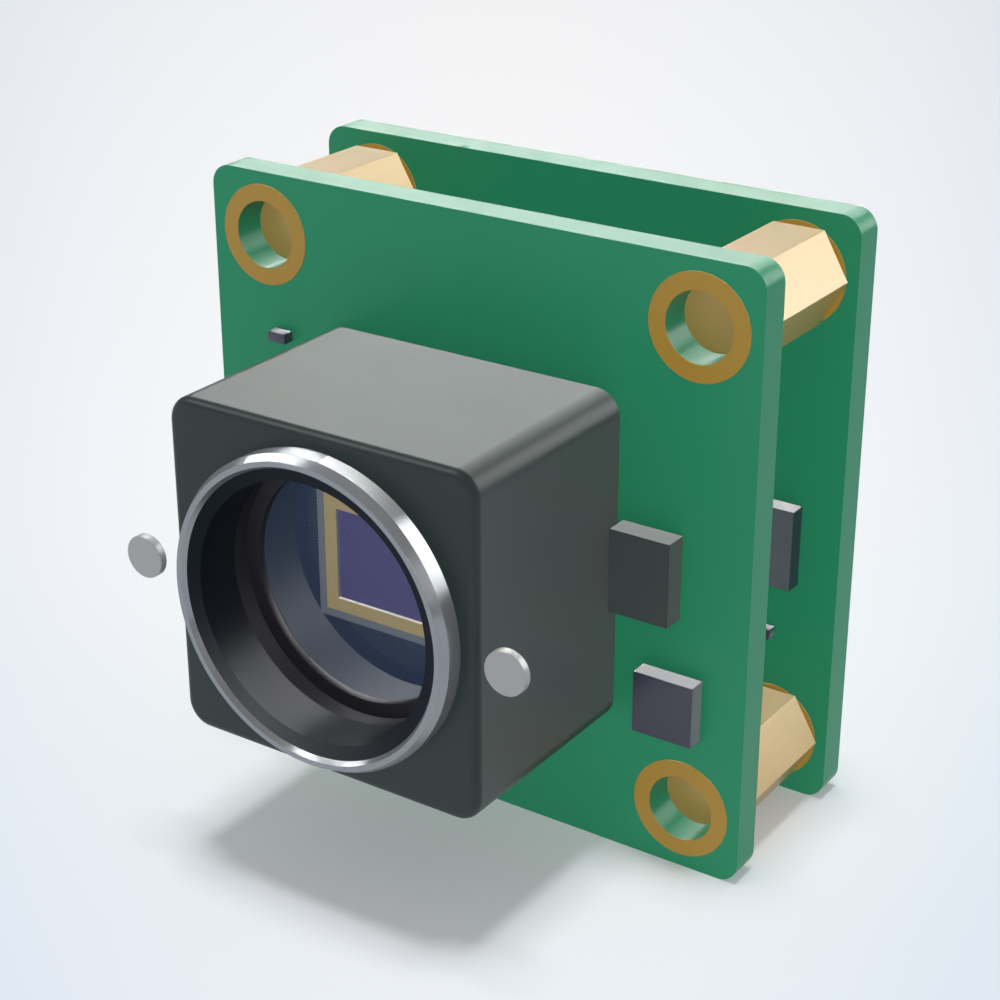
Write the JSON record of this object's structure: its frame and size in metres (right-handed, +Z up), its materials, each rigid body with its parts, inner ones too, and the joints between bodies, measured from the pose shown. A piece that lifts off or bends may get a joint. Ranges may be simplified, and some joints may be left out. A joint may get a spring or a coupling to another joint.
{
  "type": "board-level area scan camera",
  "caption": "Area scan camera on stacked square circuit boards joined by brass standoffs, with a square housing, a threaded lens opening, a filter and an image sensor.",
  "frame": {"origin": "bottom centre of the whole camera's box, level with the lower edges of its boards", "axes": "-Y out of the lens opening, +X to the right seen from the front, +Z up; Y runs from the lens opening to the receptacles on the back"},
  "size_m": [0.029, 0.0268, 0.029],
  "materials": {
    "board_green": "satin",
    "pad_gold": "satin",
    "brass": "satin",
    "housing_black": "satin",
    "bright_ring": "satin",
    "disc_grey": "satin",
    "screw_steel": "satin",
    "gasket_dark": "matte",
    "filter_blue": "gloss",
    "spacer_grey": "satin",
    "sensor_board_dark": "satin",
    "ceramic_grey": "matte",
    "seal_gold": "satin",
    "die_purple": "gloss",
    "clear_glass": "gloss",
    "chip_dark": "matte",
    "chip_grey": "matte",
    "connector_black": "matte",
    "connector_white": "matte",
    "contact_gold": "gloss",
    "shell_steel": "satin"
  },
  "bodies": {
    "root": {"front_board": "board_green", "rear_board": "board_green", "front_board_pads": "pad_gold", "standoff_bottom_left": "brass", "standoff_bottom_right": "brass", "standoff_top_left": "brass", "standoff_top_right": "brass", "lens_mount_housing": "housing_black", "mount_ring": "bright_ring", "housing_screws": "screw_steel", "side_discs": "disc_grey", "filter_gasket": "gasket_dark", "infrared_filter": "filter_blue", "chamber_spacer": "spacer_grey", "sensor_board": "sensor_board_dark", "sensor_package": "ceramic_grey", "sensor_frame": "seal_gold", "sensor_die": "die_purple", "sensor_cover_glass": "clear_glass", "sensor_socket": "connector_black", "sensor_plug": "connector_black", "sensor_board_capacitors": "ceramic_grey", "board_socket": "connector_black", "board_header": "connector_black", "data_shell": "shell_steel", "data_tongue": "connector_black", "data_contacts": "contact_gold", "trigger_housing": "connector_white", "trigger_pins": "contact_gold", "supervisor_chip": "chip_dark", "regulator_chip": "chip_grey", "front_capacitor": "chip_grey", "interface_chip": "chip_grey", "rear_board_capacitor": "chip_grey", "processor_chip": "chip_dark", "oscillator": "shell_steel", "processor_capacitors": "ceramic_grey"}
  },
  "joints": []
}
